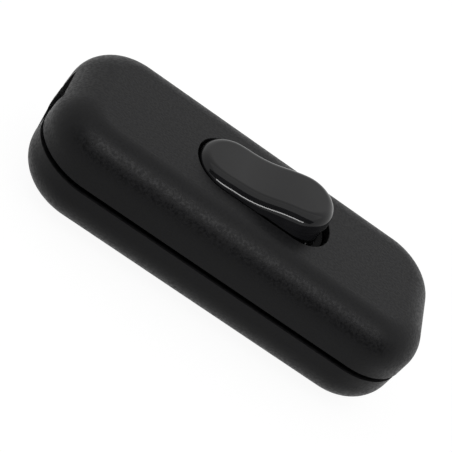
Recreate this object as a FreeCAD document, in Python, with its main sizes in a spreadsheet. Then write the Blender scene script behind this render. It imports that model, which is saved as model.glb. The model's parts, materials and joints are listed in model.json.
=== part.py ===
import FreeCAD, Part
import math
import os
import re
import Sketcher

# Inline cord switch: a two-part moulded housing with a rocker in its top.
# Millimetres and degrees. X runs along the cord, Z up, origin under the middle of the base.

SIZES = {
    # Housing
    "body_length": 70.0,
    "body_width": 30.2,
    "body_height": 17.6,
    "base_rim": 8.25,
    "groove_height": 1.05,
    "groove_depth": 1.4,
    "base_corner": 10.4,
    "cover_corner": 10.1,
    "base_round": 6.0,
    "shoulder_round": 5.85,
    "wall": 2.3,
    "floor_thickness": 2.0,
    "roof": 1.5,
    "lip_clearance": 0.1,
    "lip_reach": 1.2,
    "lip_headroom": 0.3,
    # Cable entries, one in each end
    "entry_width": 7.8,
    "entry_bottom": 4.6,
    "entry_top": 13.5,
    "cradle_width": 7.2,
    "cradle_tooth": 1.3,
    "cradle_pitch": 2.8,
    # Rocker window and the snap-in bearings beside it
    "window_length": 25.5,
    "window_width": 12.6,
    "window_corner": 6.05,
    "window_edge": 0.12,
    "pivot_drop": 1.2,
    "trunnion_radius": 1.0,
    "trunnion_clearance": 0.08,
    "bearing_gap": 0.2,
    "bearing_thickness": 2.0,
    "bearing_length": 5.0,
    "bearing_depth": 3.3,
    "bearing_bevel": 1.0,
    "snap_mouth": 1.7,
    # Rocker
    "rocker_length": 23.6,
    "rocker_gap": 0.2,
    "rocker_tilt": 10.8,
    "cap_sink": 0.25,
    "root_overlap": 0.4,
    "dip_lift": 2.42,
    "dip_shift": 0.9,
    "dip_radius": 18.0,
    "lobe_offset": 7.8,
    "lobe_rise": 0.65,
    "cap_edge": 1.8,
    "cap_lower_edge": 0.3,
    "skirt_inset": 0.4,
    "skirt_wall": 1.1,
    "skirt_drop": 1.5,
    "shield_length": 24.7,
    "shield_thickness": 0.5,
    "trunnion_end_play": 0.3,
    "stem_radius": 2.5,
    "stem_reach": 5.0,
    # Plunger and spring in the rocker's stem
    "plunger_radius": 1.45,
    "plunger_clearance": 0.08,
    "plunger_nose": 0.9,
    "plunger_taper": 0.7,
    "plunger_guide": 2.0,
    "spigot_radius": 0.7,
    "spigot_length": 1.4,
    "tip_gap": 0.4,
    "spring_wire": 0.36,
    "spring_clearance": 0.12,
    "spring_seat_gap": 0.05,
    "spring_length": 3.4,
    "spring_pitch": 0.8,
    # Contact bridge
    "bridge_height": 6.8,
    "bridge_tilt": 8.5,
    "bridge_thickness": 0.7,
    "bridge_width": 4.2,
    "valley_half": 2.8,
    "valley_rise": 0.7,
    "contact_arm": 9.0,
    "contact_overhang": 1.8,
    "balance_arm": 6.0,
    "bridge_pin": 0.5,
    "bridge_pin_clearance": 0.08,
    "bridge_pin_overhang": 0.3,
    "bridge_side_gap": 0.3,
    # Contact rivets
    "contact_radius": 1.4,
    "contact_head": 0.6,
    "contact_bevel": 0.3,
    "contact_shank": 0.8,
    "contact_upset": 1.1,
    "contact_upset_height": 0.3,
    "rivet_clearance": 0.05,
    "contact_gap": 0.15,
    # Conductor strips on their beds
    "strip_bed": 3.4,
    "strip_thickness": 0.8,
    "strip_width": 5.0,
    "post_width": 4.4,
    "cheek_rise": 0.7,
    "terminal_offset": 14.2,
    "terminal_row": 8.2,
    "strip_tail": 4.0,
    "bed_length": 4.0,
    "bed_width": 3.6,
    "peg_radius": 1.0,
    "peg_clearance": 0.1,
    "peg_head": 0.5,
    "peg_offset": 7.6,
    # Terminal blocks
    "block_length": 7.0,
    "block_width": 5.4,
    "block_height": 6.2,
    "block_edge": 0.5,
    "wire_bore": 1.5,
    "wire_height": 2.4,
    # Cord grips
    "grip_inset": 7.5,
    "grip_screw_spacing": 12.4,
    "grip_length": 17.4,
    "grip_width": 5.5,
    "grip_thickness": 2.2,
    "grip_corner": 2.0,
    "grip_seat": 10.6,
    "grip_tooth": 0.8,
    "grip_boss": 2.2,
    # Screw posts that hold the housing together
    "post_to_grip": 7.0,
    "base_post": 3.9,
    "cover_post": 3.2,
    "head_recess": 2.4,
    "head_recess_clearance": 0.3,
    # Screws: thread and shank radius, head, length under the head, and slot
    "thread_clearance": 0.05,
    "shank_clearance": 0.2,
    "hole_runout": 0.5,
    "slot_width": 0.6,
    "slot_depth": 0.7,
    "screw_bevel": 0.3,
    "terminal_screw_radius": 1.25,
    "terminal_head_radius": 2.0,
    "terminal_head_height": 1.4,
    "terminal_screw_length": 3.0,
    "grip_screw_radius": 1.2,
    "grip_head_radius": 2.1,
    "grip_head_height": 1.4,
    "grip_screw_length": 8.0,
    "housing_screw_radius": 1.4,
    "housing_head_radius": 2.5,
    "housing_head_height": 1.7,
    "housing_screw_length": 11.5,
}

# Places and sizes that follow from the sheet, as expressions in its aliases
COVER_RIM = "(base_rim + groove_height)"
LIP_TOP = f"({COVER_RIM} + lip_reach)"
ROOF_UNDERSIDE = "(body_height - roof)"
PIVOT_HEIGHT = f"({ROOF_UNDERSIDE} - pivot_drop)"
BODY_TOP_OVER_PIVOT = "(roof + pivot_drop)"
BEARING_INNER = "(window_width / 2 + bearing_gap)"
BEARING_OUTER = f"({BEARING_INNER} + bearing_thickness)"
ROCKER_WIDTH = "(window_width - 2 * rocker_gap)"
ROCKER_CORNER = "(window_corner - rocker_gap)"
CAP_UNDERSIDE = f"({BODY_TOP_OVER_PIVOT} - cap_sink)"
DIP_HEIGHT = f"({BODY_TOP_OVER_PIVOT} + dip_lift)"
RADII_SUM = "((lobe_offset ^ 2 + lobe_rise ^ 2) / (2 * lobe_rise))"
LOBE_RADIUS = f"({RADII_SUM} - dip_radius)"
BORE_RADIUS = "(plunger_radius + plunger_clearance)"
STRIP_TOP = "(strip_bed + strip_thickness)"
TIP_REACH = f"({PIVOT_HEIGHT} - bridge_height - bridge_thickness / 2 - tip_gap)"
PLUNGER_SHOULDER = "(plunger_guide - stem_reach)"
SPRING_RADIUS = f"({BORE_RADIUS} - spring_clearance - spring_wire / 2)"
BRIDGE_UNDERSIDE = "(valley_rise - bridge_thickness / 2)"
CHEEK_INNER = "(bridge_width / 2 + bridge_side_gap)"
CHEEK_OUTER = f"({CHEEK_INNER} + strip_thickness)"
MOVING_CONTACT_LOW = (
    "(bridge_height - (contact_arm + contact_radius) * sin(bridge_tilt)"
    f" + ({BRIDGE_UNDERSIDE} - contact_head) * cos(bridge_tilt))"
)
FIXED_CONTACT_X = "(contact_arm * cos(bridge_tilt))"
BLOCK_TOP = f"({STRIP_TOP} + block_height)"
GRIP_OFFSET = "(body_length / 2 - grip_inset)"
POST_OFFSET = f"({GRIP_OFFSET} - post_to_grip)"
ENDS = (-1, 1)
# The points of a sketch edge that a constraint can take
START, END, CENTRE = range(1, 4)
# The sketch's own axis, whose start is the origin
H_AXIS = -1
# A face whose normal has more than this upright part counts as a top face
UPWARD = 0.3

doc = FreeCAD.newDocument("inline_cord_switch")
sheet = doc.addObject("Spreadsheet::Sheet", "Sizes")
for row, (alias, size) in enumerate(SIZES.items(), start=1):
    sheet.set(f"A{row}", alias)
    sheet.set(f"B{row}", str(size))
    sheet.setAlias(f"B{row}", alias)
doc.recompute()


def bound(expression):
    """The expression with each alias written as a cell of the sheet."""
    return re.sub(r"[a-z_]+", lambda word: f"Sizes.{word[0]}" if word[0] in SIZES else word[0], expression)


def value(expression):
    """What the expression comes to now."""
    return float(sheet.evalExpression(bound(expression)))


def new_body(label, x="0", y="0", z="0", turn_axis=(0, 0, 1), turn="0"):
    """An empty body, placed and turned by expressions."""
    body = doc.addObject("PartDesign::Body", label)
    body.Label = label
    turn_now = FreeCAD.Rotation(FreeCAD.Vector(*turn_axis), value(turn))
    body.Placement = FreeCAD.Placement(FreeCAD.Vector(value(x), value(y), value(z)), turn_now)
    for axis, place in (("x", x), ("y", y), ("z", z)):
        body.setExpression(f"Placement.Base.{axis}", bound(place))
    if turn != "0":
        body.setExpression("Placement.Rotation.Angle", bound(turn))
    return body


def new_sketch(body, name, plane, height="0", across="0"):
    """A sketch on one of the body's own planes, moved along its normal and along its first axis."""
    sketch = body.newObject("Sketcher::SketchObject", f"{body.Name}_{name}")
    support = next(feature for feature in body.Origin.OriginFeatures if feature.Role == f"{plane}_Plane")
    sketch.AttachmentSupport = [(support, "")]
    sketch.MapMode = "FlatFace"
    sketch.setExpression("AttachmentOffset.Base.z", bound(height))
    sketch.setExpression("AttachmentOffset.Base.x", bound(across))
    return sketch


def bind(sketch, constraint, expression):
    """Add a constraint and tie its size to the sheet."""
    index = sketch.addConstraint(constraint)
    sketch.setExpression(f"Constraints[{index}]", bound(expression))


def place_point(sketch, edge, end, x, y):
    """Fix one end of an edge, or a centre, at (x, y)."""
    origin = (H_AXIS, START)
    bind(sketch, Sketcher.Constraint("DistanceX", *origin, edge, end, value(x)), x)
    bind(sketch, Sketcher.Constraint("DistanceY", *origin, edge, end, value(y)), y)


def arc_between(start, end, radius, turns_left):
    """The shorter arc from start to end, with its centre on the left or right of the way."""
    chord = end - start
    reach = math.sqrt(radius ** 2 - chord.Length ** 2 / 4)
    side = FreeCAD.Vector(-chord.y, chord.x, 0).normalize() * (reach if turns_left else -reach)
    centre = (start + end) / 2 + side
    first, last = (start, end) if turns_left else (end, start)
    angles = [math.atan2(point.y - centre.y, point.x - centre.x) for point in (first, last)]
    return Part.ArcOfCircle(Part.Circle(centre, FreeCAD.Vector(0, 0, 1), radius), *angles)


def outline(sketch, corners):
    """A closed outline. A corner is (x, y), or (x, y, "left" or "right", radius) where an arc follows."""
    base = sketch.GeometryCount
    count = len(corners)
    points = [FreeCAD.Vector(value(corner[0]), value(corner[1]), 0) for corner in corners]
    ways = []
    for index, corner in enumerate(corners):
        following = points[(index + 1) % count]
        if len(corner) == 2:
            sketch.addGeometry(Part.LineSegment(points[index], following), False)
            ways.append((START, END))
        else:
            turns_left = corner[2] == "left"
            arc = arc_between(points[index], following, value(corner[3]), turns_left)
            sketch.addGeometry(arc, False)
            ways.append((START, END) if turns_left else (END, START))
    for index, corner in enumerate(corners):
        after = (index + 1) % count
        first, last = ways[index]
        joint = (base + index, last, base + after, ways[after][0])
        sketch.addConstraint(Sketcher.Constraint("Coincident", *joint))
        place_point(sketch, base + index, first, corner[0], corner[1])
        if len(corner) > 2:
            bind(sketch, Sketcher.Constraint("Radius", base + index, value(corner[3])), corner[3])
    return sketch


def rectangle(sketch, left, right, low, high):
    return outline(sketch, [(left, low), (right, low), (right, high), (left, high)])


def rounded_rectangle(sketch, length, width, corner):
    """A rectangle about the sketch's origin with round corners."""
    x = f"({length}) / 2"
    y = f"({width}) / 2"
    near_x = f"({x} - {corner})"
    near_y = f"({y} - {corner})"
    return outline(sketch, [
        (f"-{near_x}", f"-{y}"),
        (near_x, f"-{y}", "left", corner),
        (x, f"-{near_y}"),
        (x, near_y, "left", corner),
        (near_x, y),
        (f"-{near_x}", y, "left", corner),
        (f"-({x})", near_y),
        (f"-({x})", f"-{near_y}", "left", corner),
    ])


def circle(sketch, radius, x="0", y="0"):
    centre = FreeCAD.Vector(value(x), value(y), 0)
    edge = sketch.addGeometry(Part.Circle(centre, FreeCAD.Vector(0, 0, 1), value(radius)), False)
    place_point(sketch, edge, CENTRE, x, y)
    bind(sketch, Sketcher.Constraint("Radius", edge, value(radius)), radius)
    return sketch


def extrude(body, sketch, kind, length, symmetric, turned):
    """Pad or pocket a sketch. Raises if the solid's volume doesn't change the way it should."""
    before = body.Shape.Volume if body.Tip else 0.0
    feature = body.newObject(f"PartDesign::{kind}", f"{sketch.Name}_{kind.lower()}")
    feature.Profile = sketch
    feature.SideType = "Symmetric" if symmetric else "One side"
    feature.Reversed = turned
    feature.setExpression("Length", bound(length))
    doc.recompute()
    grown = feature.Shape.Volume - before
    if (grown > 0) != (kind == "Pad"):
        raise ValueError(f"{feature.Name} changes nothing")
    return feature


def pad(body, sketch, length, symmetric=False, turned=False):
    return extrude(body, sketch, "Pad", length, symmetric, turned)


def pocket(body, sketch, length, symmetric=False, turned=False):
    return extrude(body, sketch, "Pocket", length, symmetric, turned)


def revolve(body, sketch):
    """Turn a half outline once round the sketch's upright axis."""
    feature = body.newObject("PartDesign::Revolution", f"{sketch.Name}_revolution")
    feature.Profile = sketch
    feature.ReferenceAxis = (sketch, ["V_Axis"])
    feature.Angle = 360
    doc.recompute()
    return feature


def round_edges(body, name, radius, wanted):
    """Round the edges of the body so far that the test picks."""
    tip = body.Tip
    edges = [f"Edge{number}" for number, edge in enumerate(tip.Shape.Edges, start=1) if wanted(edge)]
    feature = body.newObject("PartDesign::Fillet", f"{body.Name}_{name}")
    feature.Base = (tip, edges)
    feature.setExpression("Radius", bound(radius))
    doc.recompute()
    return feature


def lies_at(edge, height):
    """True for an edge that lies flat at a height of the body's own frame."""
    tolerance = 1e-4
    box = edge.BoundBox
    return abs(box.ZMin - height) < tolerance and abs(box.ZMax - height) < tolerance


def within(edge, length, width):
    """True for an edge inside a rectangle about the origin."""
    tolerance = 1e-4
    box = edge.BoundBox
    inside_x = max(abs(box.XMin), abs(box.XMax)) < length / 2 + tolerance
    return inside_x and max(abs(box.YMin), abs(box.YMax)) < width / 2 + tolerance


def cut_entries(body):
    """The rectangular cable entry through both end walls."""
    entry = new_sketch(body, "entry", "YZ")
    rectangle(entry, "-entry_width / 2", "entry_width / 2", "entry_bottom", "entry_top")
    pocket(body, entry, "2 * body_length", symmetric=True)


def lower_housing():
    """The base: an open tray with a lip, posts, cord cradles and beds for the strips."""
    body = new_body("lower_housing")
    plan = rounded_rectangle(new_sketch(body, "plan", "XY"), "body_length", "body_width", "base_corner")
    pad(body, plan, "base_rim")
    round_edges(body, "underside", "base_round", lambda edge: lies_at(edge, 0))

    lip = new_sketch(body, "lip", "XY", "base_rim")
    lip_size = ("body_length - 2 * groove_depth", "body_width - 2 * groove_depth")
    rounded_rectangle(lip, *lip_size, "(base_corner - groove_depth)")
    pad(body, lip, "groove_height + lip_reach")

    cavity = new_sketch(body, "cavity", "XY", LIP_TOP)
    rounded_rectangle(cavity, "body_length - 2 * wall", "body_width - 2 * wall", "(base_corner - wall)")
    pocket(body, cavity, f"{LIP_TOP} - floor_thickness")
    floor = value("floor_thickness")
    round_edges(body, "floor_round", "base_round - wall", lambda edge: lies_at(edge, floor))
    cut_entries(body)

    add_base_posts(body)
    add_cord_cradles(body)
    add_strip_beds(body)
    return body


def add_base_posts(body):
    """Posts for the housing screws, with head recesses below, and bosses for the cord grips."""
    for end in ENDS:
        side = "left" if end < 0 else "right"
        middle = f"{end} * {POST_OFFSET}"
        post = circle(new_sketch(body, f"post_{side}", "XY", "floor_thickness / 2"), "base_post", middle)
        pad(body, post, f"{COVER_RIM} - floor_thickness / 2")
        hole = new_sketch(body, f"screw_way_{side}", "XY", COVER_RIM)
        circle(hole, "housing_screw_radius + shank_clearance", middle)
        pocket(body, hole, COVER_RIM)
        recess = new_sketch(body, f"head_recess_{side}", "XY", "head_recess")
        circle(recess, "housing_head_radius + head_recess_clearance", middle)
        pocket(body, recess, "head_recess")
        for row in ENDS:
            number = "front" if row < 0 else "back"
            place = (f"{end} * {GRIP_OFFSET}", f"{row} * grip_screw_spacing / 2")
            boss = new_sketch(body, f"grip_boss_{side}_{number}", "XY", "floor_thickness / 2")
            pad(body, circle(boss, "grip_boss", *place), "grip_seat - floor_thickness / 2")
            thread = new_sketch(body, f"grip_thread_{side}_{number}", "XY", "grip_seat")
            circle(thread, "grip_screw_radius + thread_clearance", *place)
            pocket(body, thread, "grip_screw_length - grip_thickness + hole_runout")


def add_cord_cradles(body):
    """Toothed saddles that the cord lies in, under the grips."""
    root = "floor_thickness / 2"
    top = "entry_bottom"
    valley = f"({top} - cradle_tooth)"
    for end in ENDS:
        side = "left" if end < 0 else "right"
        cradle = new_sketch(body, f"cradle_{side}", "XZ", "0", f"{end} * {GRIP_OFFSET}")
        outline(cradle, [
            ("-cradle_pitch", root),
            ("cradle_pitch", root),
            ("cradle_pitch", valley),
            ("cradle_pitch / 2", top),
            ("0", valley),
            ("-cradle_pitch / 2", top),
            ("-cradle_pitch", valley),
        ])
        pad(body, cradle, "cradle_width", symmetric=True)


def add_strip_beds(body):
    """Raised beds that carry the conductor strips, three of them with a locating peg."""
    beds = {
        "line_in": ("-terminal_offset", "-terminal_row"),
        "line_out": ("terminal_offset", "-terminal_row"),
        "neutral_in": ("-terminal_offset", "terminal_row"),
        "neutral_out": ("terminal_offset", "terminal_row"),
        "pivot": ("0", "0"),
        "contact": (FIXED_CONTACT_X, "0"),
    }
    pegs = {
        "line_in_peg": ("-peg_offset", "-terminal_row"),
        "line_out_peg": ("peg_offset", "-terminal_row"),
        "neutral_peg": ("0", "terminal_row"),
    }
    for name, (x, y) in (beds | pegs).items():
        bed = new_sketch(body, f"bed_{name}", "XY", "floor_thickness / 2")
        x_range = (f"{x} - bed_length / 2", f"{x} + bed_length / 2")
        rectangle(bed, *x_range, f"{y} - bed_width / 2", f"{y} + bed_width / 2")
        pad(body, bed, "strip_bed - floor_thickness / 2")
    for name, (x, y) in pegs.items():
        peg = circle(new_sketch(body, name, "XY", "floor_thickness / 2"), "peg_radius", x, y)
        pad(body, peg, f"{STRIP_TOP} + peg_head - floor_thickness / 2")


def upper_housing():
    """The cover: a deep lid with a soft shoulder, the rocker window, bearings and screw posts."""
    body = new_body("upper_housing")
    plan = new_sketch(body, "plan", "XY", COVER_RIM)
    rounded_rectangle(plan, "body_length", "body_width", "cover_corner")
    pad(body, plan, f"body_height - {COVER_RIM}")
    top = value("body_height")
    round_edges(body, "shoulder", "shoulder_round", lambda edge: lies_at(edge, top))

    cavity = new_sketch(body, "cavity", "XY", COVER_RIM)
    rounded_rectangle(cavity, "body_length - 2 * wall", "body_width - 2 * wall", "(cover_corner - wall)")
    pocket(body, cavity, f"{ROOF_UNDERSIDE} - {COVER_RIM}", turned=True)
    ceiling = value(ROOF_UNDERSIDE)
    round_edges(body, "ceiling", "shoulder_round - wall", lambda edge: lies_at(edge, ceiling))

    rebate_inset = "(groove_depth - lip_clearance)"
    rebate = new_sketch(body, "rebate", "XY", COVER_RIM)
    rebate_size = (f"body_length - 2 * {rebate_inset}", f"body_width - 2 * {rebate_inset}")
    rounded_rectangle(rebate, *rebate_size, f"(cover_corner - {rebate_inset})")
    pocket(body, rebate, "lip_reach + lip_headroom", turned=True)
    cut_entries(body)

    window = new_sketch(body, "window", "XY", "body_height")
    rounded_rectangle(window, "window_length", "window_width", "window_corner")
    pocket(body, window, "2 * roof")
    length = value("window_length")
    width = value("window_width")
    rim = lambda edge: lies_at(edge, top) and within(edge, length, width)
    round_edges(body, "window_edge", "window_edge", rim)

    add_bearings(body)
    add_cover_posts(body)
    return body


def add_bearings(body):
    """Two lugs under the roof that the rocker's trunnions snap into from below."""
    half = "bearing_length / 2"
    foot = f"({ROOF_UNDERSIDE} - bearing_depth)"
    for side in ENDS:
        name = "front" if side < 0 else "back"
        inner = f"-{BEARING_INNER}" if side > 0 else BEARING_OUTER
        lug = new_sketch(body, f"bearing_{name}", "XZ", inner)
        outline(lug, [
            (f"-{half}", "body_height - roof / 2"),
            (f"-{half}", f"{foot} + bearing_bevel"),
            (f"-{half} + bearing_bevel", foot),
            (f"{half} - bearing_bevel", foot),
            (half, f"{foot} + bearing_bevel"),
            (half, "body_height - roof / 2"),
        ])
        pad(body, lug, "bearing_thickness", turned=True)
    across = f"2 * {BEARING_OUTER}"
    seat = circle(new_sketch(body, "seat", "XZ"), "trunnion_radius + trunnion_clearance", "0", PIVOT_HEIGHT)
    pocket(body, seat, across, symmetric=True)
    mouth = new_sketch(body, "mouth", "XZ")
    rectangle(mouth, "-snap_mouth / 2", "snap_mouth / 2", foot, PIVOT_HEIGHT)
    pocket(body, mouth, across, symmetric=True)


def add_cover_posts(body):
    """Posts from the roof down to the base's posts, bored for the housing screws."""
    for end in ENDS:
        side = "left" if end < 0 else "right"
        middle = f"{end} * {POST_OFFSET}"
        post = circle(new_sketch(body, f"post_{side}", "XY", COVER_RIM), "cover_post", middle)
        pad(body, post, f"body_height - roof / 2 - {COVER_RIM}")
        thread = new_sketch(body, f"thread_{side}", "XY", COVER_RIM)
        circle(thread, "housing_screw_radius + thread_clearance", middle)
        depth = f"head_recess + housing_screw_length - {COVER_RIM} + hole_runout"
        pocket(body, thread, depth, turned=True)


def rocker_placed(label):
    """A body in the rocker's frame: origin on the pivot, tipped so that the left end is down."""
    return new_body(label, z=PIVOT_HEIGHT, turn_axis=(0, -1, 0), turn="rocker_tilt")


def top_at_end(side):
    """The height where the cap's top meets the end wall on one side, before the edge is rounded."""
    past_lobe = f"(rocker_length / 2 {side} dip_shift - lobe_offset)"
    return f"({DIP_HEIGHT} + lobe_rise - {LOBE_RADIUS} + sqrt({LOBE_RADIUS} ^ 2 - {past_lobe} ^ 2))"


def rocker():
    """The cap with its dip between two lobes, a skirt and shield, the trunnions and the plunger's stem."""
    body = rocker_placed("rocker")
    end = "rocker_length / 2"
    meet_x = f"(lobe_offset * dip_radius / {RADII_SUM})"
    meet_z = f"({DIP_HEIGHT} + lobe_rise * dip_radius / {RADII_SUM})"
    profile = new_sketch(body, "profile", "XZ")
    outline(profile, [
        (f"-{end}", CAP_UNDERSIDE),
        (end, CAP_UNDERSIDE),
        (end, top_at_end("+"), "left", LOBE_RADIUS),
        (f"{meet_x} - dip_shift", meet_z, "right", "dip_radius"),
        (f"-{meet_x} - dip_shift", meet_z, "left", LOBE_RADIUS),
        (f"-{end}", top_at_end("-")),
    ])
    pad(body, profile, ROCKER_WIDTH, symmetric=True)

    trim = new_sketch(body, "plan", "XY")
    rectangle(trim, "-rocker_length", "rocker_length", "-window_width", "window_width")
    rounded_rectangle(trim, "rocker_length", ROCKER_WIDTH, ROCKER_CORNER)
    pocket(body, trim, "2 * rocker_length", symmetric=True)

    top_faces = [face for face in body.Tip.Shape.Faces if face.normalAt(*middle_of(face)).z > UPWARD]
    rim = [edge for edge in body.Tip.Shape.Edges if bordering(edge, top_faces) == 1]
    round_edges(body, "cap_edge", "cap_edge", lambda edge: any(edge.isSame(other) for other in rim))
    low = value(CAP_UNDERSIDE)
    round_edges(body, "cap_lower_edge", "cap_lower_edge", lambda edge: lies_at(edge, low))

    skirt = new_sketch(body, "skirt", "XY", "-skirt_drop")
    skirt_size = ("rocker_length - 2 * skirt_inset", f"{ROCKER_WIDTH} - 2 * skirt_inset")
    rounded_rectangle(skirt, *skirt_size, f"({ROCKER_CORNER} - skirt_inset)")
    pad(body, skirt, f"{CAP_UNDERSIDE} + root_overlap + skirt_drop")
    shield = new_sketch(body, "shield", "XY", "-skirt_drop")
    rounded_rectangle(shield, "shield_length", ROCKER_WIDTH, ROCKER_CORNER)
    pad(body, shield, "shield_thickness")
    hollow_inset = "(skirt_inset + skirt_wall)"
    hollow = new_sketch(body, "hollow", "XY", "-skirt_drop")
    hollow_size = (f"rocker_length - 2 * {hollow_inset}", f"{ROCKER_WIDTH} - 2 * {hollow_inset}")
    rounded_rectangle(hollow, *hollow_size, f"({ROCKER_CORNER} - {hollow_inset})")
    pocket(body, hollow, f"{CAP_UNDERSIDE} + skirt_drop", turned=True)

    trunnion = circle(new_sketch(body, "trunnion", "XZ"), "trunnion_radius")
    pad(body, trunnion, f"2 * ({BEARING_OUTER} - trunnion_end_play)", symmetric=True)
    stem = circle(new_sketch(body, "stem", "XY", "-stem_reach"), "stem_radius")
    pad(body, stem, f"stem_reach + {CAP_UNDERSIDE} + root_overlap")
    bore = circle(new_sketch(body, "bore", "XY", "-stem_reach"), BORE_RADIUS)
    pocket(body, bore, "plunger_guide + spring_length", turned=True)
    return body


def middle_of(face):
    u_low, u_high, v_low, v_high = face.ParameterRange
    return (u_low + u_high) / 2, (v_low + v_high) / 2


def bordering(edge, faces):
    """How many of the faces the edge borders."""
    return sum(any(edge.isSame(other) for other in face.Edges) for face in faces)


def plunger():
    """A round-nosed pin with a spigot that keeps the spring centred."""
    body = rocker_placed("plunger")
    tip = f"(-{TIP_REACH})"
    half = new_sketch(body, "half", "XZ")
    outline(half, [
        ("0", tip, "left", "plunger_nose"),
        ("plunger_nose", f"{tip} + plunger_nose"),
        ("plunger_radius", f"{tip} + plunger_nose + plunger_taper"),
        ("plunger_radius", PLUNGER_SHOULDER),
        ("spigot_radius", PLUNGER_SHOULDER),
        ("spigot_radius", f"{PLUNGER_SHOULDER} + spigot_length"),
        ("0", f"{PLUNGER_SHOULDER} + spigot_length"),
    ])
    revolve(body, half)
    return body


def plunger_spring():
    """The coil that drives the plunger out of the stem."""
    body = rocker_placed("plunger_spring")
    wire = new_sketch(body, "wire", "XZ")
    circle(wire, "spring_wire / 2", SPRING_RADIUS, f"{PLUNGER_SHOULDER} + spring_seat_gap + spring_wire / 2")
    coil = body.newObject("PartDesign::AdditiveHelix", "plunger_spring_coil")
    coil.Profile = wire
    coil.ReferenceAxis = (wire, ["V_Axis"])
    coil.Mode = "pitch-height-angle"
    coil.setExpression("Pitch", bound("spring_pitch"))
    coil.setExpression("Height", bound("spring_length - spring_wire - 2 * spring_seat_gap"))
    doc.recompute()
    return body


def bridge_placed(label):
    """A body in the bridge's frame: origin on its pins, tipped so that the contact is down."""
    return new_body(label, z="bridge_height", turn_axis=(0, 1, 0), turn="bridge_tilt")


def contact_bridge():
    """The see-saw strip: a valley over its pins and an arm each side."""
    body = bridge_placed("contact_bridge")
    half = "bridge_thickness / 2"
    stations = [
        ("-balance_arm", "valley_rise"),
        ("-valley_half", "valley_rise"),
        ("0", "0"),
        ("valley_half", "valley_rise"),
        ("(contact_arm + contact_overhang)", "valley_rise"),
    ]
    lower = [(x, f"{z} - {half}") for x, z in stations]
    upper = [(x, f"{z} + {half}") for x, z in reversed(stations)]
    profile = outline(new_sketch(body, "profile", "XZ"), lower + upper)
    pad(body, profile, "bridge_width", symmetric=True)
    hole = new_sketch(body, "rivet_hole", "XY", f"valley_rise + {half}")
    circle(hole, "contact_shank + rivet_clearance", "contact_arm")
    pocket(body, hole, "2 * bridge_thickness")
    pins = circle(new_sketch(body, "pins", "XZ"), "bridge_pin")
    pad(body, pins, f"2 * ({CHEEK_OUTER} + bridge_pin_overhang)", symmetric=True)
    return body


def moving_contact():
    """The contact rivet under the bridge's long arm."""
    body = bridge_placed("moving_contact")
    face = f"({BRIDGE_UNDERSIDE} - contact_head)"
    seat_top = f"({BRIDGE_UNDERSIDE} + bridge_thickness)"
    half = new_sketch(body, "half", "XZ", "0", "contact_arm")
    outline(half, [
        ("0", face),
        ("contact_radius - contact_bevel", face),
        ("contact_radius", f"{face} + contact_bevel"),
        ("contact_radius", BRIDGE_UNDERSIDE),
        ("contact_shank", BRIDGE_UNDERSIDE),
        ("contact_shank", seat_top),
        ("contact_upset", seat_top),
        ("contact_upset", f"{seat_top} + contact_upset_height"),
        ("0", f"{seat_top} + contact_upset_height"),
    ])
    revolve(body, half)
    return body


def fixed_contact():
    """The contact rivet on the line-out strip, its face just under the moving contact."""
    body = new_body("fixed_contact", x=FIXED_CONTACT_X)
    face = f"({MOVING_CONTACT_LOW} - contact_gap)"
    half = new_sketch(body, "half", "XZ")
    outline(half, [
        ("0", "strip_bed"),
        ("contact_shank", "strip_bed"),
        ("contact_shank", STRIP_TOP),
        ("contact_radius", STRIP_TOP),
        ("contact_radius", f"{face} - contact_bevel"),
        ("contact_radius - contact_bevel", face),
        ("0", face),
    ])
    revolve(body, half)
    return body


def peg_hole(body, x, y):
    hole = new_sketch(body, "peg_hole", "XY", STRIP_TOP)
    pocket(body, circle(hole, "peg_radius + peg_clearance", x, y), "2 * strip_thickness")


def line_in_terminal():
    """The strip from the line-in terminal to the two notched cheeks that the bridge rocks in."""
    body = new_body("line_in_terminal")
    post = "post_width / 2"
    near = "(-terminal_row + strip_width / 2)"
    far = "(-terminal_row - strip_width / 2)"
    tail = "(-terminal_offset - strip_tail)"
    plan = new_sketch(body, "plan", "XY", "strip_bed")
    outline(plan, [
        (tail, far),
        (post, far),
        (post, CHEEK_OUTER),
        (f"-{post}", CHEEK_OUTER),
        (f"-{post}", near),
        (tail, near),
    ])
    pad(body, plan, "strip_thickness")
    peg_hole(body, "-peg_offset", "-terminal_row")
    top = "(bridge_height + cheek_rise)"
    notch = "(bridge_height - (bridge_pin + bridge_pin_clearance) * sqrt(2))"
    for side in ENDS:
        name = "front" if side < 0 else "back"
        inner = f"-{CHEEK_INNER}" if side > 0 else CHEEK_OUTER
        cheek = new_sketch(body, f"cheek_{name}", "XZ", inner)
        outline(cheek, [
            (f"-{post}", "strip_bed + strip_thickness / 2"),
            (post, "strip_bed + strip_thickness / 2"),
            (post, top),
            (f"{top} - {notch}", top),
            ("0", notch),
            (f"-({top} - {notch})", top),
            (f"-{post}", top),
        ])
        pad(body, cheek, "strip_thickness", turned=True)
    return body


def line_out_terminal():
    """The strip from under the fixed contact to the line-out terminal."""
    body = new_body("line_out_terminal")
    left = f"({FIXED_CONTACT_X} - post_width / 2)"
    right = f"({FIXED_CONTACT_X} + post_width / 2)"
    near = "(-terminal_row + strip_width / 2)"
    far = "(-terminal_row - strip_width / 2)"
    tail = "(terminal_offset + strip_tail)"
    plan = new_sketch(body, "plan", "XY", "strip_bed")
    outline(plan, [
        (left, far),
        (tail, far),
        (tail, near),
        (right, near),
        (right, "post_width / 2"),
        (left, "post_width / 2"),
    ])
    pad(body, plan, "strip_thickness")
    peg_hole(body, "peg_offset", "-terminal_row")
    hole = new_sketch(body, "rivet_hole", "XY", STRIP_TOP)
    circle(hole, "contact_shank + rivet_clearance", FIXED_CONTACT_X)
    pocket(body, hole, "2 * strip_thickness")
    return body


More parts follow.
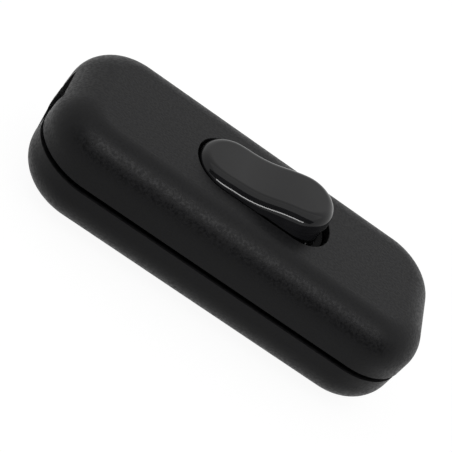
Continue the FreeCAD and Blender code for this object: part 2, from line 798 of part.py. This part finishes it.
def neutral_link():
    """The strip that joins the two neutral terminals."""
    body = new_body("neutral_link")
    tail = "(terminal_offset + strip_tail)"
    plan = new_sketch(body, "plan", "XY", "strip_bed")
    rectangle(plan, f"-{tail}", tail, "terminal_row - strip_width / 2", "terminal_row + strip_width / 2")
    pad(body, plan, "strip_thickness")
    peg_hole(body, "0", "terminal_row")
    return body


def terminal_block(label, end, row):
    """A brass block with a wire bore across it and a screw hole from above."""
    body = new_body(label, f"{end} * terminal_offset", f"{row} * terminal_row", STRIP_TOP)
    plan = new_sketch(body, "plan", "XY")
    rounded_rectangle(plan, "block_length", "block_width", "block_edge")
    pad(body, plan, "block_height")
    wire = circle(new_sketch(body, "wire", "YZ"), "wire_bore", "0", "wire_height")
    pocket(body, wire, "2 * block_length", symmetric=True)
    thread = new_sketch(body, "thread", "XY", "block_height")
    circle(thread, "terminal_screw_radius + thread_clearance")
    pocket(body, thread, "block_height - wire_height")
    return body


def cord_grip(label, end):
    """The clamp bar over the cord, with two screw holes and two teeth underneath."""
    body = new_body(label, f"{end} * {GRIP_OFFSET}", "0", "grip_seat")
    plan = new_sketch(body, "plan", "XY")
    rounded_rectangle(plan, "grip_width", "grip_length", "grip_corner")
    pad(body, plan, "grip_thickness")
    for row in ENDS:
        hole = new_sketch(body, f"hole_{'front' if row < 0 else 'back'}", "XY", "grip_thickness")
        circle(hole, "grip_screw_radius + shank_clearance", "0", f"{row} * grip_screw_spacing / 2")
        pocket(body, hole, "2 * grip_thickness")
    teeth = new_sketch(body, "teeth", "XZ")
    outline(teeth, [
        ("-cradle_pitch / 2", "-grip_tooth"),
        ("0", "0"),
        ("cradle_pitch / 2", "-grip_tooth"),
        ("grip_width / 2", "grip_thickness / 2"),
        ("-grip_width / 2", "grip_thickness / 2"),
    ])
    pad(body, teeth, "cradle_width", symmetric=True)
    return body


def screw(label, kind, x, y, z, upside_down=False):
    """A slotted screw with its head's seat at the given place, pointing down unless turned over."""
    body = new_body(label, x, y, z)
    if upside_down:
        body.Placement.Rotation = FreeCAD.Rotation(FreeCAD.Vector(1, 0, 0), 180)
    radius = f"{kind}_screw_radius"
    head = f"{kind}_head_radius"
    height = f"{kind}_head_height"
    tip = f"-{kind}_screw_length"
    half = new_sketch(body, "half", "XZ")
    outline(half, [
        ("0", tip),
        (f"{radius} - screw_bevel", tip),
        (radius, f"{tip} + screw_bevel"),
        (radius, "0"),
        (head, "0"),
        (head, f"{height} - screw_bevel"),
        (f"{head} - screw_bevel", height),
        ("0", height),
    ])
    revolve(body, half)
    slot = new_sketch(body, "slot", "XY", height)
    rectangle(slot, f"-2 * {head}", f"2 * {head}", "-slot_width / 2", "slot_width / 2")
    pocket(body, slot, "slot_depth")
    return body


def group(label, bodies):
    """Like screws as one node of separate solids."""
    compound = doc.addObject("Part::Compound", label)
    compound.Label = label
    compound.Links = bodies
    return compound


def terminal_blocks():
    places = {"line_in": (-1, -1), "line_out": (1, -1), "neutral_in": (-1, 1), "neutral_out": (1, 1)}
    return [terminal_block(f"terminal_block_{name}", *place) for name, place in places.items()]


def terminal_screws():
    screws = []
    for end in ENDS:
        for row in ENDS:
            place = (f"{end} * terminal_offset", f"{row} * terminal_row", BLOCK_TOP)
            screws.append(screw(f"terminal_screw_{len(screws) + 1}", "terminal", *place))
    return group("terminal_screws", screws)


def cord_grip_screws():
    screws = []
    for end in ENDS:
        for row in ENDS:
            place = (f"{end} * {GRIP_OFFSET}", f"{row} * grip_screw_spacing / 2")
            label = f"cord_grip_screw_{len(screws) + 1}"
            screws.append(screw(label, "grip", *place, "grip_seat + grip_thickness"))
    return group("cord_grip_screws", screws)


def housing_screws():
    screws = []
    for end in ENDS:
        place = (f"{end} * {POST_OFFSET}", "0", "head_recess")
        screws.append(screw(f"housing_screw_{len(screws) + 1}", "housing", *place, upside_down=True))
    return group("housing_screws", screws)


nodes = [
    lower_housing(),
    upper_housing(),
    rocker(),
    plunger(),
    plunger_spring(),
    contact_bridge(),
    moving_contact(),
    fixed_contact(),
    line_in_terminal(),
    line_out_terminal(),
    neutral_link(),
    *terminal_blocks(),
    terminal_screws(),
    cord_grip("cord_grip_left", -1),
    cord_grip("cord_grip_right", 1),
    cord_grip_screws(),
    housing_screws(),
]
doc.recompute()

failed = [item.Name for item in doc.Objects if {"Invalid", "Error"} & set(item.State)]
failed += [node.Label for node in nodes if node.Shape.isNull() or not node.Shape.isValid()]
if failed:
    raise RuntimeError(f"these did not build: {failed}")

os.makedirs("parts", exist_ok=True)
for node in nodes:
    node.Shape.exportStep(f"parts/{node.Label}.step")
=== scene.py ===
import json
import math
from collections import namedtuple

import bpy
from mathutils import Matrix, Vector


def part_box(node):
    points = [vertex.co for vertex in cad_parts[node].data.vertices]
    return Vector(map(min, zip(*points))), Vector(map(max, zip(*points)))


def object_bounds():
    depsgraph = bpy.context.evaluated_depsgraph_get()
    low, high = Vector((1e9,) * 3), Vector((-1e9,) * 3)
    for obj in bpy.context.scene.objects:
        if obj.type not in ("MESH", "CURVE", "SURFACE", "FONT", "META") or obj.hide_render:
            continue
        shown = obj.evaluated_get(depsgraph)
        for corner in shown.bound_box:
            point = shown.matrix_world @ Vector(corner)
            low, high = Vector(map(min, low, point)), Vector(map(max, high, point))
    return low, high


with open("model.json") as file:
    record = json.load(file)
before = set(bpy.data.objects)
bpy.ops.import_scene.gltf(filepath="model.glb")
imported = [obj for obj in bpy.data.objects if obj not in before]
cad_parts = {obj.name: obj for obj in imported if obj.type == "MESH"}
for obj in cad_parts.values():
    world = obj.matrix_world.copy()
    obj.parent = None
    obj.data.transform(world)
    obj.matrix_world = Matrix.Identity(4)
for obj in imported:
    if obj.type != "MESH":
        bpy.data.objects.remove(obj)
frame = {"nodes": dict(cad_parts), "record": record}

# Inline cord switch. Metres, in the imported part's own frame: X along the cord, Z up.

MM = 0.001
cad_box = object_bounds()
floor_height = cad_box[0][2]
middle = Vector((0, 0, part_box("upper_housing")[1].z / 2))

# The rocker's polish ends just above its flange, this far below its pivot, over a short stretch
POLISH_DEPTH = 0.95 * MM
POLISH_FADE = 0.1 * MM

# Camera: where it stands round the object, and how its frame is turned and shifted
CAMERA_AZIMUTH = math.radians(-14.113)
CAMERA_ELEVATION = math.radians(33.045)
CAMERA_ROLL = math.radians(42.284)
CAMERA_DISTANCE = 253.1 * MM
CAMERA_NEAR = 10 * MM
LENS = 125.1
SENSOR = 36.0
FRAME_SHIFT = (-0.01675, 0.00143)

# Softboxes and the dark card stand round the object's middle: degrees from the camera's side and up from
# the ground, then metres. A softbox lights the glossy rocker alone, or all the other nodes.
Stand = namedtuple("Stand", "azimuth elevation distance")
Softbox = namedtuple("Softbox", "stand size brightness on_rocker")
SOFTBOXES = {
    "key": Softbox(Stand(9, 64, 0.8), size=(0.75, 0.34), brightness=5.2, on_rocker=False),
    "strip": Softbox(Stand(15, 8, 0.8), size=(1.0, 0.1), brightness=27.0, on_rocker=True),
    "fill": Softbox(Stand(15, 88, 0.8), size=(1.6, 0.88), brightness=0.45, on_rocker=True),
}
CARD_STAND = Stand(10, 35, 1.0)
CARD_SIZE = (3.4, 0.85)
CARD_COLOUR = (0.02, 0.02, 0.02, 1.0)

# The pale floor shows as white and leaves a share of what is seen to the light and shadow on it. The world
# shows as white too, and gives less light than it shows.
FLOOR_SIZE = (3.0, 3.0)
FLOOR_COLOUR = (0.86, 0.86, 0.86, 1.0)
FLOOR_SHADOW_SHARE = 0.2
FLOOR_WHITE = 1.17
STAGE_ROUGHNESS = 0.9
WORLD_COLOUR = (1.0, 1.0, 1.0, 1.0)
WORLD_LIGHT = 0.6
WORLD_WHITE = 1.0


def add_node(tree, kind, inputs=None, **settings):
    """A new node, with its plain settings and its inputs set or linked."""
    node = tree.nodes.new(kind)
    for name, setting in settings.items():
        setattr(node, name, setting)
    for name, value in (inputs or {}).items():
        if isinstance(value, bpy.types.NodeSocket):
            tree.links.new(value, node.inputs[name])
        else:
            node.inputs[name].default_value = value
    return node


def new_material(name):
    """A material with its tree and its shader."""
    material = bpy.data.materials.new(name)
    material.use_nodes = True
    tree = material.node_tree
    return material, tree, tree.nodes["Principled BSDF"]


def object_place(tree):
    """The place on the object, as a vector."""
    return add_node(tree, "ShaderNodeTexCoord").outputs["Object"]


def grain(tree, place, feature, detail, roughness=0.5):
    """Noise whose lumps are about one feature size across."""
    inputs = {"Vector": place, "Scale": 1.0 / feature, "Detail": detail, "Roughness": roughness}
    return add_node(tree, "ShaderNodeTexNoise", inputs).outputs["Fac"]


def ramp(tree, factor, low, high, start=0.3, stop=0.7):
    """A smooth change from one number or colour to another as the factor crosses a span."""
    inputs = {"Value": factor, "From Min": start, "From Max": stop}
    node = add_node(tree, "ShaderNodeMapRange", inputs, interpolation_type="SMOOTHSTEP")
    if isinstance(low, tuple):
        mix = add_node(tree, "ShaderNodeMix", {"Factor": node.outputs["Result"]}, data_type="RGBA")
        mix.inputs["A"].default_value = low
        mix.inputs["B"].default_value = high
        return mix.outputs["Result"]
    node.inputs["To Min"].default_value = low
    node.inputs["To Max"].default_value = high
    return node.outputs["Result"]


def larger(tree, first, second):
    """The larger of two values."""
    return add_node(tree, "ShaderNodeMath", {0: first, 1: second}, operation="MAXIMUM").outputs[0]


def dress(tree, shader, colour, roughness, bumps):
    """Link a colour and a roughness to the shader, and stack bumps of (height, depth) on its normal."""
    tree.links.new(colour, shader.inputs["Base Color"])
    tree.links.new(roughness, shader.inputs["Roughness"])
    normal = None
    for height, depth in bumps:
        inputs = {"Height": height, "Distance": depth, "Strength": 1.0}
        if normal:
            inputs["Normal"] = normal
        normal = add_node(tree, "ShaderNodeBump", inputs).outputs["Normal"]
    tree.links.new(normal, shader.inputs["Normal"])


def housing_plastic():
    """Black moulding with a fine spark-eroded grain that speckles and softens every highlight."""
    material, tree, shader = new_material("housing_plastic")
    place = object_place(tree)
    fine = grain(tree, place, feature=0.13 * MM, detail=2.0)
    lumps = grain(tree, place, feature=0.42 * MM, detail=2.0)
    colour = ramp(tree, lumps, low=(0.005, 0.005, 0.0055, 1), high=(0.0075, 0.0075, 0.008, 1))
    roughness = ramp(tree, lumps, low=0.34, high=0.56)
    dress(tree, shader, colour, roughness, bumps=[(lumps, 0.028 * MM), (fine, 0.009 * MM)])
    shader.inputs["Specular IOR Level"].default_value = 0.135
    return material


def rocker_plastic():
    """Polished black moulding with a trace of flow and handling marks, left matte from the flange down."""
    material, tree, shader = new_material("rocker_plastic")
    place = object_place(tree)
    flow = grain(tree, place, feature=5.0 * MM, detail=2.0)
    smudge = grain(tree, place, feature=2.2 * MM, detail=4.0)
    colour = ramp(tree, flow, low=(0.004, 0.004, 0.0045, 1), high=(0.006, 0.006, 0.0065, 1))
    joints = {joint["name"]: joint for joint in frame["record"]["behaviour"]["joints"]}
    up = Vector(joints["plunger_slide"]["axis"])
    polish_end = up.dot(Vector(joints["rocker_hinge"]["pos_m"])) - POLISH_DEPTH
    height = add_node(tree, "ShaderNodeVectorMath", {0: place, 1: up}, operation="DOT_PRODUCT")
    polish_start = polish_end + POLISH_FADE
    matte = ramp(tree, height.outputs["Value"], low=0.85, high=0.0, start=polish_end, stop=polish_start)
    roughness = larger(tree, ramp(tree, smudge, low=0.07, high=0.11), matte)
    dress(tree, shader, colour, roughness, bumps=[(flow, 0.010 * MM)])
    shader.inputs["Specular IOR Level"].default_value = 0.2
    return material


def grip_plastic():
    """Plain black moulding of the cord grips, with a faint tool grain."""
    material, tree, shader = new_material("grip_plastic")
    lumps = grain(tree, object_place(tree), feature=0.8 * MM, detail=3.0)
    colour = ramp(tree, lumps, low=(0.016, 0.016, 0.017, 1), high=(0.026, 0.026, 0.027, 1))
    roughness = ramp(tree, lumps, low=0.38, high=0.5)
    dress(tree, shader, colour, roughness, bumps=[(lumps, 0.015 * MM)])
    return material


def nylon():
    """Natural nylon of the plunger: milky, a little translucent, with soft mould flow."""
    material, tree, shader = new_material("nylon")
    flow = grain(tree, object_place(tree), feature=1.2 * MM, detail=3.0)
    colour = ramp(tree, flow, low=(0.72, 0.69, 0.59, 1), high=(0.82, 0.80, 0.72, 1))
    roughness = ramp(tree, flow, low=0.34, high=0.46)
    dress(tree, shader, colour, roughness, bumps=[(flow, 0.008 * MM)])
    shader.inputs["Subsurface Weight"].default_value = 0.2
    shader.inputs["Subsurface Scale"].default_value = 0.8 * MM
    return material


def metal(name, dark, bright, roughness, streak, stretch=(1, 1, 1)):
    """Worked metal with streaks of a given width, drawn out along the axis of least scale."""
    material, tree, shader = new_material(name)
    place = object_place(tree)
    drawn = add_node(tree, "ShaderNodeMapping", {"Vector": place, "Scale": stretch}).outputs["Vector"]
    streaks = grain(tree, drawn, feature=streak, detail=4.0, roughness=0.6)
    stain = grain(tree, place, feature=2.5 * MM, detail=4.0)
    # The product of the two noises lies about a quarter, and a quarter more centres it again
    worn = add_node(tree, "ShaderNodeMath", {0: streaks, 1: stain, 2: 0.25}, operation="MULTIPLY_ADD")
    colour = ramp(tree, worn.outputs[0], dark, bright, start=0.35, stop=0.65)
    smooth, rough = roughness
    dress(tree, shader, colour, ramp(tree, stain, smooth, rough), bumps=[(streaks, 0.004 * MM)])
    shader.inputs["Metallic"].default_value = 1.0
    return material


def brass():
    """Rolled brass of the strips and the terminal blocks."""
    dark = (0.46, 0.31, 0.11, 1)
    bright = (0.80, 0.60, 0.28, 1)
    return metal("brass", dark, bright, roughness=(0.24, 0.42), streak=0.12 * MM, stretch=(0.08, 1, 1))


def zinc_steel():
    """Zinc-plated steel of the screws."""
    dark = (0.42, 0.42, 0.40, 1)
    bright = (0.72, 0.72, 0.70, 1)
    return metal("zinc_steel", dark, bright, roughness=(0.26, 0.44), streak=0.10 * MM, stretch=(1, 1, 0.3))


def spring_steel():
    """Bare steel wire of the plunger's spring."""
    dark = (0.30, 0.30, 0.31, 1)
    bright = (0.62, 0.62, 0.63, 1)
    return metal("spring_steel", dark, bright, roughness=(0.22, 0.36), streak=0.05 * MM)


def contact_silver():
    """Silver of the two contact rivets."""
    dark = (0.60, 0.59, 0.56, 1)
    bright = (0.90, 0.89, 0.86, 1)
    return metal("contact_silver", dark, bright, roughness=(0.16, 0.34), streak=0.20 * MM)


def finish_nodes():
    """Give each node of the part the material of its slot."""
    plastics = (housing_plastic, rocker_plastic, grip_plastic, nylon)
    metals = (brass, zinc_steel, spring_steel, contact_silver)
    materials = {maker.__name__: maker() for maker in plastics + metals}
    slots = {row["node"]: row["material_slot"] for row in frame["record"]["subparts"]}
    for name, node in frame["nodes"].items():
        for slot in node.material_slots:
            slot.material = materials[slots[name]]


def direction(azimuth, elevation):
    """The unit vector from the object, turned from the camera's side and raised from the ground."""
    turn = CAMERA_AZIMUTH + azimuth
    flat = math.cos(elevation)
    return Vector((math.sin(turn) * flat, -math.cos(turn) * flat, math.sin(elevation)))


def face_object(item, stand):
    """Put a light or a card on its stand round the object and turn it to face it."""
    toward = direction(math.radians(stand.azimuth), math.radians(stand.elevation))
    item.location = middle + stand.distance * toward
    item.rotation_euler = (middle - item.location).to_track_quat("-Z", "Y").to_euler()


def sheet(name, size, material):
    """A flat sheet of the studio, lying about its own origin."""
    width, height = size
    corners = [(x * width / 2, y * height / 2, 0) for x, y in ((-1, -1), (1, -1), (1, 1), (-1, 1))]
    mesh = bpy.data.meshes.new(name)
    mesh.from_pydata(corners, [], [(0, 1, 2, 3)])
    mesh.materials.append(material)
    stage = bpy.data.objects.new(name, mesh)
    bpy.context.scene.collection.objects.link(stage)
    return stage


def seen_directly(tree):
    """1 for rays from the camera or from a mirror-like or clear surface, else 0."""
    path = add_node(tree, "ShaderNodeLightPath").outputs
    shown = larger(tree, path["Is Camera Ray"], path["Is Glossy Ray"])
    return larger(tree, shown, path["Is Transmission Ray"])


def studio_floor():
    """A wide pale floor that shows as white behind the object and still takes its shadow."""
    material, tree, shader = new_material("floor")
    shader.inputs["Base Color"].default_value = FLOOR_COLOUR
    shader.inputs["Roughness"].default_value = STAGE_ROUGHNESS
    white = add_node(tree, "ShaderNodeEmission", {"Strength": FLOOR_WHITE})
    inputs = {0: seen_directly(tree), 1: 1.0 - FLOOR_SHADOW_SHARE}
    share = add_node(tree, "ShaderNodeMath", inputs, operation="MULTIPLY")
    mix = add_node(tree, "ShaderNodeMixShader", {"Fac": share.outputs[0]})
    tree.links.new(shader.outputs["BSDF"], mix.inputs[1])
    tree.links.new(white.outputs["Emission"], mix.inputs[2])
    tree.links.new(mix.outputs["Shader"], tree.nodes["Material Output"].inputs["Surface"])
    sheet("floor", FLOOR_SIZE, material).location.z = floor_height


def dark_card():
    """A black card behind the camera that keeps the object's near edges dark."""
    material, _, shader = new_material("dark_card")
    shader.inputs["Base Color"].default_value = CARD_COLOUR
    shader.inputs["Roughness"].default_value = STAGE_ROUGHNESS
    face_object(sheet("dark_card", CARD_SIZE, material), CARD_STAND)


def studio_world():
    """An even world that shows as white where it is seen directly."""
    world = bpy.data.worlds.new("studio")
    bpy.context.scene.world = world
    world.use_nodes = True
    tree = world.node_tree
    background = tree.nodes["Background"]
    background.inputs["Color"].default_value = WORLD_COLOUR
    inputs = {"Value": seen_directly(tree), "To Min": WORLD_LIGHT, "To Max": WORLD_WHITE}
    strength = add_node(tree, "ShaderNodeMapRange", inputs)
    tree.links.new(strength.outputs["Result"], background.inputs["Strength"])


def studio_lights():
    """The softboxes, facing the object, each with the power that gives its brightness."""
    for name, softbox in SOFTBOXES.items():
        lamp = bpy.data.lights.new(name, "AREA")
        lamp.shape = "RECTANGLE"
        lamp.size, lamp.size_y = softbox.size
        lamp.energy = softbox.brightness * math.pi * lamp.size * lamp.size_y
        light = bpy.data.objects.new(name, lamp)
        face_object(light, softbox.stand)
        bpy.context.scene.collection.objects.link(light)
        lit = bpy.data.collections.new(f"lit_by_{name}")
        for node_name, node in frame["nodes"].items():
            if (node_name == "rocker") == softbox.on_rocker:
                lit.objects.link(node)
        light.light_linking.receiver_collection = lit


def camera():
    """The camera stands at the object's front left, with its frame rolled to lay the switch aslant."""
    back = direction(0, CAMERA_ELEVATION)
    level_right = Vector((math.cos(CAMERA_AZIMUTH), math.sin(CAMERA_AZIMUTH), 0))
    up = back.cross(level_right)
    frame_right = math.cos(CAMERA_ROLL) * level_right + math.sin(CAMERA_ROLL) * up
    frame_up = -math.sin(CAMERA_ROLL) * level_right + math.cos(CAMERA_ROLL) * up
    data = bpy.data.cameras.new("camera")
    data.lens = LENS
    data.sensor_width = SENSOR
    data.shift_x, data.shift_y = FRAME_SHIFT
    data.clip_start = CAMERA_NEAR
    view = bpy.data.objects.new("camera", data)
    turn = Matrix((frame_right, frame_up, back)).transposed()
    view.matrix_world = Matrix.Translation(middle + back * CAMERA_DISTANCE) @ turn.to_4x4()
    bpy.context.scene.collection.objects.link(view)
    bpy.context.scene.camera = view


finish_nodes()
studio_floor()
dark_card()
studio_world()
studio_lights()
camera()
bpy.context.scene.view_settings.view_transform = "Standard"
